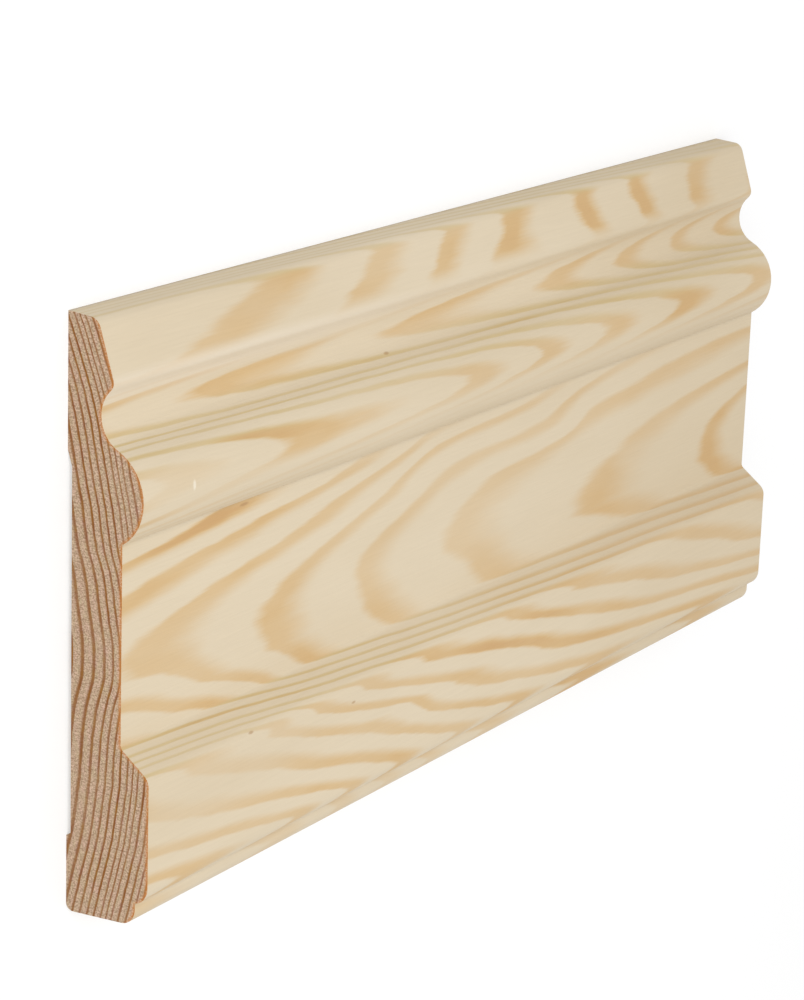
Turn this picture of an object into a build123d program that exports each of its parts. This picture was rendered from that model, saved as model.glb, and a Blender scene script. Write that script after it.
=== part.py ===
"""Architrave: one short length of solid pine moulding, sawn square at both ends.

The piece lies on its back. X runs along the length, Y across the width from the thick edge
to the thin edge, and Z up from the back to the moulded face. The origin is at the middle of
the back, on the surface that the piece lies on. All sizes are in millimetres.

The face, from the thick edge to the thin edge, is a base band at full thickness with a stepped
outer corner, a ramp, a wide flat field, a torus, a cove, and a sloping lip that thins towards
the edge. Both edges lean in a little from the back to the face. The back has a shallow relief
channel between two lands, so that the piece sits flat on an uneven wall.
"""

import os
from math import sqrt

from build123d import *

# Overall size
length = 200.0
width = 92.0
thickness = 15.2

# Step along the outer corner of the base band, the shoulder that rises from it, and the thick
# edge below it, which is plumb near the back and then leans in
step_depth = 2.3
step_width = 4.2
step_edge_round = 2.7
shoulder_radius = 3.0
thick_edge_plumb = 1.6
thick_edge_lean = 0.7
thick_back_round = 1.2

# Base band and ramp down to the field
base_band_end = 24.1
base_inner_round = 2.2
ramp_width = 3.9
field_depth = 5.2
field_corner_round = 1.0

# Torus, a circle of the section that stands up from the field
torus_radius = 7.8
torus_rise = 3.75
torus_centre = 65.7

# Cove, a circle of the section that sinks between the torus and the lip
cove_radius = 5.2
cove_height = 6.05
cove_centre = 77.6

# Lip that slopes down to the thin edge
lip_drop = 3.1
lip_nose_round = 1.6
thin_edge_height = 5.4
thin_edge_lean = 0.4
thin_edge_round = 2.0

# Relief channel in the back
relief_depth = 0.8
relief_start = 12.0
relief_end = 71.5
relief_step_run = 0.5
relief_bevel_run = 2.4


def reach(radius, rise):
    """How far a circle lies to the side of its middle, at a height above or below the middle."""
    return sqrt(radius**2 - rise**2)


def crossing(middle_a, radius_a, middle_b, radius_b):
    """The upper crossing of two circles, or the point between them if they only touch."""
    across = middle_b[0] - middle_a[0]
    up = middle_b[1] - middle_a[1]
    apart = sqrt(across**2 + up**2)
    along = (apart**2 + radius_a**2 - radius_b**2) / (2 * apart)
    off = sqrt(max(radius_a**2 - along**2, 0.0))
    return (
        middle_a[0] + (along * across - off * up) / apart,
        middle_a[1] + (along * up + off * across) / apart,
    )


# Step and shoulder
step_height = thickness - step_depth
shoulder_middle = (step_width + shoulder_radius, thickness - shoulder_radius)
shoulder_foot = (
    shoulder_middle[0] - reach(shoulder_radius, step_height - shoulder_middle[1]),
    step_height,
)
shoulder_top = (shoulder_middle[0], thickness)
step_edge = (thick_edge_lean, step_height)

# Ramp and field
field_height = thickness - field_depth
band_corner = (base_band_end, thickness)
ramp_foot = (base_band_end + ramp_width, field_height)

# Torus and cove
torus_crest = (torus_centre, field_height + torus_rise)
torus_middle = (torus_centre, torus_crest[1] - torus_radius)
torus_foot = (torus_centre - reach(torus_radius, field_height - torus_middle[1]), field_height)
cove_middle = (cove_centre, cove_height + cove_radius)
cove_bottom = (cove_centre, cove_height)
ogee = crossing(torus_middle, torus_radius, cove_middle, cove_radius)

# Lip
thin_corner = (width - thin_edge_lean, thin_edge_height)
lip_height = thin_edge_height + lip_drop
lip_nose = (cove_centre + reach(cove_radius, lip_height - cove_middle[1]), lip_height)

# Relief channel
relief = [
    (relief_end, 0),
    (relief_end - relief_bevel_run, relief_depth),
    (relief_start + relief_step_run, relief_depth),
    (relief_start, 0),
]

section_plane = Plane(origin=(-length / 2, -width / 2, 0), x_dir=(0, 1, 0), z_dir=(1, 0, 0))

with BuildPart() as architrave:
    with BuildSketch(section_plane) as section:
        with BuildLine() as outline:
            Polyline((0, 0), (0, thick_edge_plumb), step_edge, shoulder_foot)
            RadiusArc(shoulder_foot, shoulder_top, shoulder_radius)
            Polyline(shoulder_top, band_corner, ramp_foot, torus_foot)
            ThreePointArc(torus_foot, torus_crest, ogee)
            ThreePointArc(ogee, cove_bottom, lip_nose)
            Polyline(lip_nose, thin_corner, (width, 0), *relief, (0, 0))
        make_face()
        rounds = (
            (step_edge, step_edge_round),
            (band_corner, base_inner_round),
            (ramp_foot, field_corner_round),
            (lip_nose, lip_nose_round),
            (thin_corner, thin_edge_round),
            ((0, 0), thick_back_round),
        )
        for corner, radius in rounds:
            fillet(section.vertices().sort_by_distance(corner)[0], radius)
    extrude(amount=length)

architrave.part.label = "architrave"

os.makedirs("parts", exist_ok=True)
export_step(architrave.part, "parts/architrave.step")
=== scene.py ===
from math import radians

import bpy
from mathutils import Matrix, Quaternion, Vector

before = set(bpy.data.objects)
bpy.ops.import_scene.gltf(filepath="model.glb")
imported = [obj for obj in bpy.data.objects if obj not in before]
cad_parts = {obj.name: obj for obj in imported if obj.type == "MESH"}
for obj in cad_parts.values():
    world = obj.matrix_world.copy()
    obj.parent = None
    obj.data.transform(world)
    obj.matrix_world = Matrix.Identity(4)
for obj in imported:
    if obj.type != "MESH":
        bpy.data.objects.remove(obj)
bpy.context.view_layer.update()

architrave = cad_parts["architrave"]

# Helpers for nodes


def linear(red, green, blue):
    """An sRGB colour in 0 to 255 as a linear RGBA colour."""
    channels = []
    for value in (red, green, blue):
        share = value / 255
        channels.append(share / 12.92 if share <= 0.04045 else ((share + 0.055) / 1.055) ** 2.4)
    return (*channels, 1.0)


class Graph:
    """Builds the node tree of a material or a world from plain calls."""

    def __init__(self, owner):
        owner.use_nodes = True
        self.tree = owner.node_tree
        self.tree.nodes.clear()

    def node(self, kind, **settings):
        made = self.tree.nodes.new("ShaderNode" + kind)
        for key, value in settings.items():
            setattr(made, key, value)
        return made

    def feed(self, socket, value):
        if isinstance(value, bpy.types.NodeSocket):
            self.tree.links.new(value, socket)
        else:
            socket.default_value = value

    def math(self, operation, *values, clamp=False):
        made = self.node("Math", operation=operation, use_clamp=clamp)
        for socket, value in zip(made.inputs, values):
            self.feed(socket, value)
        return made.outputs[0]

    def vector(self, operation, *values):
        made = self.node("VectorMath", operation=operation)
        for socket, value in zip(made.inputs, values):
            self.feed(socket, value)
        return made.outputs[0]

    def turn(self, normal, start, end):
        """A normal taken from one space, OBJECT or WORLD, to the other."""
        made = self.node("VectorTransform", vector_type="NORMAL", convert_from=start, convert_to=end)
        self.feed(made.inputs[0], normal)
        return made.outputs[0]

    def split(self, vector):
        """The X, Y and Z of a vector."""
        made = self.node("SeparateXYZ")
        self.feed(made.inputs[0], vector)
        return made.outputs

    def ramp(self, value, low, high, start=0.0, end=1.0, smooth=True):
        """From start to end as the value goes from low to high, and level outside them."""
        made = self.node("MapRange", interpolation_type="SMOOTHSTEP" if smooth else "LINEAR")
        made.clamp = True
        for socket, entry in zip(made.inputs, (value, low, high, start, end)):
            self.feed(socket, entry)
        return made.outputs[0]

    def curve(self, value, points):
        """A smooth curve through (input, output) points, in their own units."""
        low, high = points[0][0], points[-1][0]
        bottom = min(point[1] for point in points)
        top = max(point[1] for point in points)
        share = self.ramp(value, low, high, smooth=False)
        made = self.node("FloatCurve")
        line = made.mapping.curves[0]
        while len(line.points) < len(points):
            line.points.new(0.5, 0.5)
        for knot, (across, up) in zip(line.points, points):
            knot.location = ((across - low) / (high - low), (up - bottom) / (top - bottom))
            knot.handle_type = "AUTO"
        made.mapping.update()
        self.feed(made.inputs["Value"], share)
        return self.math("MULTIPLY_ADD", made.outputs[0], top - bottom, bottom)

    def noise(self, point, pace, detail=2.0, roughness=0.5):
        """Smooth noise, centred on 0, about -0.5 to 0.5. Pace is how fast it goes along each axis."""
        made = self.node("TexNoise", noise_dimensions="3D")
        self.feed(made.inputs["Vector"], self.vector("MULTIPLY", point, pace))
        made.inputs["Scale"].default_value = 1.0
        made.inputs["Detail"].default_value = detail
        made.inputs["Roughness"].default_value = roughness
        return self.math("SUBTRACT", made.outputs[0], 0.5)

    def mix(self, share, first, second, blend="MIX"):
        made = self.node("Mix", data_type="RGBA", blend_type=blend)
        self.feed(made.inputs[0], share)
        self.feed(made.inputs[6], first)
        self.feed(made.inputs[7], second)
        return made.outputs[2]

    def seen(self):
        """1 for the rays that see a surface, straight or by way of gloss or glass, and 0 for light."""
        path = self.node("LightPath")
        direct = self.math("MAXIMUM", path.outputs["Is Camera Ray"], path.outputs["Is Glossy Ray"])
        return self.math("MAXIMUM", direct, path.outputs["Is Transmission Ray"])

    def output(self, kind, surface):
        made = self.node("Output" + kind)
        self.feed(made.inputs["Surface"], surface)


# Pine: one solid block of rings, cut by the section, so that face and end grain agree

# Places and sizes in the wood are in millimetres of the part's frame.
MM_PER_METRE = 1000.0
# Shape of one ring across the width, as it shows in the end grain of the near end
BOW = [(-48, 7.6), (-41, 5.85), (-36, 4.55), (-31, 3.45), (-26, 2.9), (-21, 2.35), (-16, 1.65),
       (-12, 1.0), (-8, 0.3), (-4, 0), (0, 0.33), (4, 1.1), (8, 1.8), (12, 3.0), (17, 4.1),
       (24, 5.4), (30, 6.65), (36.5, 8.5), (41, 10.3), (48, 13.4)]
# How far the rings sink from the near end to the far end, at several places across the width
SINK = [
    (-40, [(-102, 0.05), (-95, 0.25), (-63, 1.3), (-48, 2.35), (-34, 3.65), (-16, 4.95), (3, 5.95),
           (28, 6.9), (72, 8.15), (102, 9.35)]),
    (-30, [(-102, 0.1), (-97, 0.3), (-69, 1.6), (-50, 2.9), (-30, 3.9), (-16.5, 4.85), (6.5, 6.1),
           (30, 7.4), (56, 8.7), (87, 10.05), (102, 10.7)]),
    (-24, [(-102, 0.3), (-92, 1.0), (-71, 2.3), (-57, 3.3), (-43, 4.25), (-25, 5.5), (2, 6.8),
           (24, 8.1), (62, 9.45), (102, 11.2)]),
    (-17.5, [(-102, 0), (-82, 0.77), (-66.5, 2.07), (-54.5, 3.42), (-31.5, 4.92), (1.5, 6.97),
             (52, 8.97), (85, 10.95), (102, 11.9)]),
    (-13, [(-102, 0), (-100, 0.05), (-83, 1.33), (-65.5, 2.68), (-39, 4.2), (-5, 6.2), (30.5, 8.2),
           (78, 10.2), (102, 12.2)]),
    (-8, [(-102, 0.45), (-96, 0.6), (-67.5, 1.85), (-40, 3.35), (-11, 5.4), (36, 7.4),
          (80.5, 9.4), (92, 10.4), (102, 11.6)]),
    (-4, [(-102, 0.25), (-98, 0.35), (-64, 1.55), (-38.3, 3.1), (-7, 5.1), (47, 7.1), (88, 9.1),
          (102, 10.4)]),
    (1, [(-102, 0), (-82, 0.7), (-49, 2.05), (-26, 3.55), (6, 5.6), (20, 5.95), (37, 6.6),
         (71, 7.6), (102, 8.8)]),
    (6, [(-102, 0.2), (-97, 0.35), (-53.5, 1.65), (-30, 3.0), (-11, 4.5), (20, 4.9), (30, 5.6),
         (38, 6.55), (54, 6.8), (74, 7.1), (102, 7.7)]),
    (11, [(-102, 0), (-92, 0.3), (-50, 1.6), (-26.5, 2.9), (-10, 4.25), (12, 4.6), (34, 5.75),
          (50, 6.6), (77, 7.4), (102, 7.6)]),
    (18, [(-102, 0.2), (-100, 0.35), (-90, 0.8), (-70, 1.6), (-19, 2.9), (6, 3.9), (28, 4.85),
          (54, 6.1), (86, 7.4), (102, 8.1)]),
    (24, [(-102, 0), (-92, 0.35), (-82, 0.8), (-62, 1.6), (-9, 2.9), (16, 3.9), (38, 4.85),
          (66, 6.1), (93, 7.4), (102, 7.9)]),
    (28.5, [(-102, -0.05), (-80, 0.62), (-55, 1.2), (-25, 1.98), (0, 2.68), (20, 3.27), (35, 3.9),
            (50, 4.7), (65, 5.85), (80, 7.0), (95, 8.4), (102, 9.1)]),
    (31, [(-102, 0), (-85, 0.58), (-30, 1.88), (21, 3.18), (50, 4.53), (70, 6.03), (89, 8.08),
          (102, 9.5)]),
    (38, [(-102, -0.1), (-86, 0), (-44, 1.3), (-17, 2.3), (2, 3.25), (36, 4.5), (56, 5.8),
          (74, 7.1), (102, 8.6)]),
    (44, [(-102, 0.05), (-66, 0.6), (-33, 1.9), (-10, 2.9), (8, 3.85), (32, 5.1), (52, 6.4),
          (75, 7.7), (102, 9.1)]),
]
# Ring number against the depth across the rings
RINGS = [(-11, -6), (0.95, 0), (6.95, 3), (8.45, 4), (9.8, 5), (12.4, 7), (13.65, 8), (14.6, 9),
         (15.6, 10), (18.2, 12), (20.3, 14), (24.5, 18)]
# How strongly each ring is coloured, against its number
STRENGTH = [(-7, 0.6), (-5, 0.75), (-3, 0.6), (-2, 0.7), (-1, 1.0), (0, 0.8), (1, 0.8), (2, 0.8),
            (3, 0.85), (4, 0.8), (5, 0.85), (6, 0.95), (7, 0.75), (8, 0.8), (9, 0.7), (10, 0.85),
            (12, 0.7), (14, 0.85), (18, 0.7)]

# Waver of the rings: how many waves a millimetre along each axis, detail, and size
WAVERS = [((0.035, 0.16, 0.16), 2.0, 0.3), ((0.12, 0.5, 0.5), 1.0, 0.16), ((0.2, 3.5, 3.5), 2.0, 0.1)]
# Ring numbers up to which the rings are wide, and from which they are narrow
CHANGE = (2.0, 4.0)
# Where in a ring, from 0 to 1 through it, its dark wood starts and is full: on the face in a wide
# ring and in a narrow one, and on the sawn ends
WIDE_RISE = (0.42, 0.8)
NARROW_RISE = (0.33, 0.72)
END_RISE = (0.5, 0.76)
# Where it starts to end and has ended
FACE_FALL = (0.85, 0.99)
END_FALL = (0.88, 0.99)

# Places where the dark wood is richer or, with a gain below 0, fainter: along, across, half
# length, half width and gain
RICH = [
    (-84, 11.5, 26, 3.0, 0.4), (5, -28.5, 40, 6.0, 0.2), (67, 21.5, 14, 5.0, 0.4),
    (87, -9, 12, 11, 0.3), (15, 41, 12, 7.0, 0.2), (40, 41, 10, 7.0, 0.3), (60, 41, 10, 7.0, 0.3),
    (79, 41, 7, 7.0, 0.25), (45, -12, 14, 6.0, 0.1), (94, 30, 8, 4.0, 0.3),
    (-82, -27, 34, 9.0, -0.6), (-92, 21, 18, 5.0, -0.7), (0, 35.8, 150, 3.4, -0.9),
    (-50, -43.8, 80, 3.0, -0.6), (-76, 41, 30, 7.0, -0.25), (-8, 2, 68, 30, -0.3),
    (20, 15.5, 130, 5.5, -0.85), (-45, 33.6, 40, 2.0, -0.8), (-75, 17.8, 34, 2.8, -0.7),
    (-78, 23, 30, 2.2, 0.4), (56, -6, 13, 4.0, -0.45), (-12, 29, 22, 3.5, -0.3),
    (90, 0, 80, 90, -0.18),
]
# The far part of the lip, where the dark wood is narrower: along, across, half length, half width
FAR_LIP = (60, 41, 56, 9)

# Colours of the marks on the face, and of a strip of painted light on the lip flank
RESIN = (166, 128, 86)
# A small whitish speck on the torus near the near end
PALE_SPECK = (236, 228, 212)
# Painted light: a pale strip along the lip flank, lighter than the wood there, stands in for light on
# it
PAINTED_LIGHT_STRIP = (226, 214, 195)
HONEY_PATCH = (208, 178, 131)
# The marks: along, across, half length, half width and colour
MARKS = [
    (-70, 12.4, 1.6, 0.35, RESIN), (-74, -22, 0.9, 0.3, RESIN), (-28, 27.8, 1.0, 0.3, RESIN),
    (-46, -25, 0.8, 0.3, RESIN), (-87.8, 20, 0.5, 1.1, PALE_SPECK),
    (-80, 35.2, 105, 3.0, PAINTED_LIGHT_STRIP), (-60, 31.2, 17, 1.8, HONEY_PATCH),
]
MARK_SHARE = 0.6

# Colours of the wood, on the face and on the sawn ends. A pair is the two ends of a slow change,
# which on the face is partly random tone and partly painted shade towards the far end.
PALE_WOOD = linear(219, 205, 180), linear(207, 190, 161)
DARK_WOOD = linear(210, 180, 133), linear(199, 166, 117)
THIN_LINE = linear(201, 179, 132)
RICHEST = linear(196, 157, 106)
END_PALE = linear(207, 174, 154), linear(194, 174, 141)
END_SPECK = linear(146, 119, 93)
END_DARK = linear(118, 62, 18), linear(138, 90, 12)
END_ARRIS = linear(188, 116, 42)

# Finish: metres that a crease's shading is softened by and that the fibres stand proud, how
# strongly the fibres show, roughness of pale wood and what dark wood adds to it, and gloss
CREASE_RADIUS = 0.0013
FIBRE_HEIGHT = 0.0002
FIBRE_STRENGTH = 0.25
ROUGHNESS = 0.62
DARK_ROUGHNESS = -0.08
SPECULAR = 0.3


def spot(g, point, x, y, long, wide):
    """1 in the middle of an oval place on the face, and 0 outside it."""
    away = g.vector("MULTIPLY", g.vector("SUBTRACT", point, (x, y, 0.0)), (1 / long, 1 / wide, 0.0))
    reach = g.node("VectorMath", operation="LENGTH")
    g.feed(reach.inputs[0], away)
    return g.ramp(reach.outputs["Value"], 0.3, 1.0, 1.0, 0.0)


def ring_depth(g, point):
    """How deep a point lies across the rings, with the waver of real wood."""
    along, across, up = g.split(point)
    sink = g.curve(along, SINK[0][1])
    for (start, _), (end, points) in zip(SINK, SINK[1:]):
        share = g.ramp(across, start, end, smooth=False)
        step = g.math("SUBTRACT", g.curve(along, points), sink)
        sink = g.math("MULTIPLY_ADD", share, step, sink)
    depth = g.math("ADD", g.math("SUBTRACT", up, sink), g.curve(across, BOW))
    for pace, detail, size in WAVERS:
        depth = g.math("MULTIPLY_ADD", g.noise(point, pace, detail), size, depth)
    return depth


def ring(g, point):
    """A point's ring: its number, how far through it the point is, and how strong its colour is."""
    rings = g.curve(ring_depth(g, point), RINGS)
    number = g.math("FLOOR", rings)
    phase = g.math("SUBTRACT", rings, number)
    patch = g.noise(point, (0.04, 0.12, 0.12))
    uneven = g.math("MULTIPLY_ADD", patch, 0.9, 1.05)
    return number, phase, g.math("MULTIPLY", g.curve(number, STRENGTH), uneven)


def face_late(g, point, across, facing, steep, far, number, phase, strength):
    """How much dark wood of a ring shows on the face."""
    # It is about as thick in a wide ring as in a narrow one
    low, high = (g.ramp(number, *CHANGE, wide, narrow, smooth=False)
                 for wide, narrow in zip(WIDE_RISE, NARROW_RISE))
    lip = spot(g, point, *FAR_LIP)
    low = g.math("MULTIPLY_ADD", lip, 0.16, low)
    high = g.math("MULTIPLY_ADD", lip, 0.06, high)
    # Where the ramp and the torus face the thin edge, the rings are thin lines, which widen
    # towards the far end
    thin = g.math("MULTIPLY", steep, g.math("MULTIPLY_ADD", far, -2.0, 1.0))
    low = g.math("MULTIPLY_ADD", thin, 0.14, low)
    rise = g.ramp(phase, low, high)
    fall = g.ramp(phase, *FACE_FALL, 1.0, 0.0)
    late = g.math("MULTIPLY", g.math("MULTIPLY", rise, fall), strength)
    for x, y, long, wide, gain in RICH:
        more = g.math("MULTIPLY", spot(g, point, x, y, long, wide), gain)
        late = g.math("MULTIPLY_ADD", late, more, late)
    # Lines fade where the torus and the lip turn down towards the thick edge
    turned = g.ramp(facing, -0.75, -0.3, 1.0, 0.0)
    turned = g.math("MULTIPLY", turned, g.ramp(across, 4.0, 10.0))
    late = g.math("MULTIPLY", late, g.math("MULTIPLY_ADD", turned, -0.7, 1.0))
    # They are fainter on the thin edge too
    edge = g.math("MULTIPLY", g.ramp(facing, 0.5, 0.95), g.ramp(across, 40.0, 45.0))
    return g.math("MULTIPLY", late, g.math("MULTIPLY_ADD", edge, -0.3, 1.0))


def face_colour(g, point, along, across, steep, far, late, fibre):
    """Colour of the planed face, with painted shade that darkens it a little towards the far end."""
    tone_and_falloff_shade = g.noise(point, (0.015, 0.06, 0.06))
    # Painted shade: the face is darker towards the far end, where less light falls
    tone_and_falloff_shade = g.math("ADD", tone_and_falloff_shade, g.ramp(along, 10, 90, 0.5, 0.9), clamp=True)
    pale = g.mix(tone_and_falloff_shade, *PALE_WOOD)
    dark = g.mix(tone_and_falloff_shade, *DARK_WOOD)
    # Thin lines look greener, though on the ramp only towards the near end
    on_ramp = g.ramp(across, -5, 5, 1.0, 0.0)
    green = g.math("MULTIPLY_ADD", g.math("MULTIPLY", far, on_ramp), -1.0, 1.0)
    dark = g.mix(g.math("MULTIPLY", steep, green), dark, THIN_LINE)
    face = g.mix(late, pale, dark)
    face = g.mix(g.ramp(late, 0.8, 1.5), face, RICHEST)
    face = g.mix(1.0, face, g.math("MULTIPLY_ADD", fibre, 0.1, 1.0), blend="MULTIPLY")
    for x, y, long, wide, colour in MARKS:
        share = g.math("MULTIPLY", spot(g, point, x, y, long, wide), MARK_SHARE)
        face = g.mix(share, face, linear(*colour))
    return face


def end_colour(g, point, rounded, phase, strength):
    """Colour of the sawn ends: speckled pale wood, brown rings and an orange arris."""
    rise = g.ramp(phase, *END_RISE)
    fall = g.ramp(phase, *END_FALL, 1.0, 0.0)
    late = g.math("MULTIPLY", g.math("MULTIPLY", rise, fall), strength, clamp=True)
    speck = g.noise(point, (1.0, 3.4, 3.4), roughness=0.7)
    ray = g.noise(point, (1.0, 5.0, 0.8), roughness=0.7)
    speck = g.math("MULTIPLY_ADD", speck, 4.0, g.math("MULTIPLY_ADD", ray, 2.0, 0.45), clamp=True)
    tint = g.noise(point, (0.3, 0.45, 1.3))
    tint = g.math("MULTIPLY_ADD", tint, 2.2, 0.5, clamp=True)
    pale = g.mix(speck, g.mix(tint, *END_PALE), END_SPECK)
    end = g.mix(late, pale, g.mix(tint, *END_DARK))
    # The thin fibres along the front arris let light through and look orange
    front = g.ramp(g.split(rounded)[2], 0.1, 0.5)
    arris = g.math("MULTIPLY", front, g.math("ADD", speck, 0.45, clamp=True))
    return g.mix(arris, end, END_ARRIS)


def pine_material():
    material = bpy.data.materials.new("pine")
    g = Graph(material)
    place = g.node("TexCoord")
    point = g.vector("SCALE", place.outputs["Object"])
    point.node.inputs["Scale"].default_value = MM_PER_METRE
    along, across, _ = g.split(point)
    normal = place.outputs["Normal"]
    facing_end, facing_thin_edge, _ = g.split(normal)
    bevel = g.node("Bevel", samples=6)
    bevel.inputs["Radius"].default_value = CREASE_RADIUS
    rounded = g.turn(bevel.outputs[0], "WORLD", "OBJECT")

    steep = g.ramp(facing_thin_edge, 0.3, 0.75)
    far = g.ramp(along, -60, 60)
    number, phase, strength = ring(g, point)
    late = face_late(g, point, across, facing_thin_edge, steep, far, number, phase, strength)
    fibre = g.noise(point, (0.1, 3.0, 3.0), detail=3.0, roughness=0.65)
    face = face_colour(g, point, along, across, steep, far, late, fibre)
    end = end_colour(g, point, rounded, phase, strength)
    sawn = g.ramp(g.math("ABSOLUTE", facing_end), 0.5, 0.9)

    # The cutter leaves the creases between the mouldings a little soft
    soft = g.vector("NORMALIZE", g.vector("MULTIPLY", rounded, (0.0, 1.0, 1.0)))
    soft = g.mix(sawn, soft, normal)
    bump = g.node("Bump")
    bump.inputs["Strength"].default_value = FIBRE_STRENGTH
    bump.inputs["Distance"].default_value = FIBRE_HEIGHT
    g.feed(bump.inputs["Height"], fibre)
    g.feed(bump.inputs["Normal"], g.turn(soft, "OBJECT", "WORLD"))

    shader = g.node("BsdfPrincipled")
    g.feed(shader.inputs["Base Color"], g.mix(sawn, face, end))
    g.feed(shader.inputs["Roughness"], g.math("MULTIPLY_ADD", late, DARK_ROUGHNESS, ROUGHNESS))
    shader.inputs["Specular IOR Level"].default_value = SPECULAR
    g.feed(shader.inputs["Normal"], bump.outputs[0])
    g.output("Material", shader.outputs[0])
    return material


architrave.data.materials.clear()
architrave.data.materials.append(pine_material())

# Floor, light and camera

# Places and sizes here are in metres.
FLOOR_HALF = 3.0
FLOOR_LIT = (0.8, 0.8, 0.8, 1.0)
WHITE = (1.0, 1.0, 1.0, 1.0)
# Share of the seen floor that is plain white whatever falls on it, which makes the shadow paler
FLOOR_WHITENED = 0.5
SKY_LIGHT = 0.72
LAMP_PLACE = (-0.7, 0.14, 0.8)
LAMP_SIDE = 1.0
LAMP_WATTS = 7.2
CAMERA_PLACE = (-0.44344, 0.14516, 0.27349)
CAMERA_AIM = (-0.00947, -0.00236, 0.0)
# Degrees that the camera is rolled by, so that the thin edge of the lying piece is at the top
CAMERA_ROLL = 101.86
# Focal length and film width in millimetres
CAMERA_LENS = 113.29
CAMERA_FILM = 36.0


def floor_material():
    material = bpy.data.materials.new("floor")
    g = Graph(material)
    seen = g.seen()
    shader = g.node("BsdfDiffuse")
    g.feed(shader.inputs["Color"], g.mix(seen, FLOOR_LIT, WHITE))
    plain = g.node("Emission")
    plain.inputs["Strength"].default_value = 1.0
    both = g.node("MixShader")
    g.feed(both.inputs[0], g.math("MULTIPLY", seen, FLOOR_WHITENED))
    g.feed(both.inputs[1], shader.outputs[0])
    g.feed(both.inputs[2], plain.outputs[0])
    g.output("Material", both.outputs[0])
    return material


def aim(thing, place, target, roll=0.0):
    """Puts a lamp or the camera at a place, and points it at a target."""
    towards = (Vector(target) - Vector(place)).to_track_quat("-Z", "Y")
    thing.location = place
    thing.rotation_mode = "QUATERNION"
    thing.rotation_quaternion = towards @ Quaternion((0.0, 0.0, 1.0), radians(roll))
    bpy.context.scene.collection.objects.link(thing)


corners = ((-1, -1), (1, -1), (1, 1), (-1, 1))
floor_mesh = bpy.data.meshes.new("floor")
floor_mesh.from_pydata([(x * FLOOR_HALF, y * FLOOR_HALF, 0.0) for x, y in corners], [], [(0, 1, 2, 3)])
floor = bpy.data.objects.new("floor", floor_mesh)
floor.data.materials.append(floor_material())
bpy.context.scene.collection.objects.link(floor)

# The sky is plain white where it is seen, and lights the piece at a lower level
world = bpy.data.worlds.new("studio")
bpy.context.scene.world = world
sky = Graph(world)
background = sky.node("Background")
background.inputs["Color"].default_value = WHITE
level = sky.ramp(sky.seen(), 0.0, 1.0, SKY_LIGHT, 1.0, smooth=False)
sky.feed(background.inputs["Strength"], level)
sky.output("World", background.outputs[0])

lamp_data = bpy.data.lights.new("key", "AREA")
lamp_data.size = LAMP_SIDE
lamp_data.energy = LAMP_WATTS
aim(bpy.data.objects.new("key", lamp_data), LAMP_PLACE, (0.0, 0.0, 0.0))

camera_data = bpy.data.cameras.new("camera")
camera_data.lens = CAMERA_LENS
camera_data.sensor_width = CAMERA_FILM
camera = bpy.data.objects.new("camera", camera_data)
aim(camera, CAMERA_PLACE, CAMERA_AIM, CAMERA_ROLL)
bpy.context.scene.camera = camera

bpy.context.scene.view_settings.view_transform = "Standard"
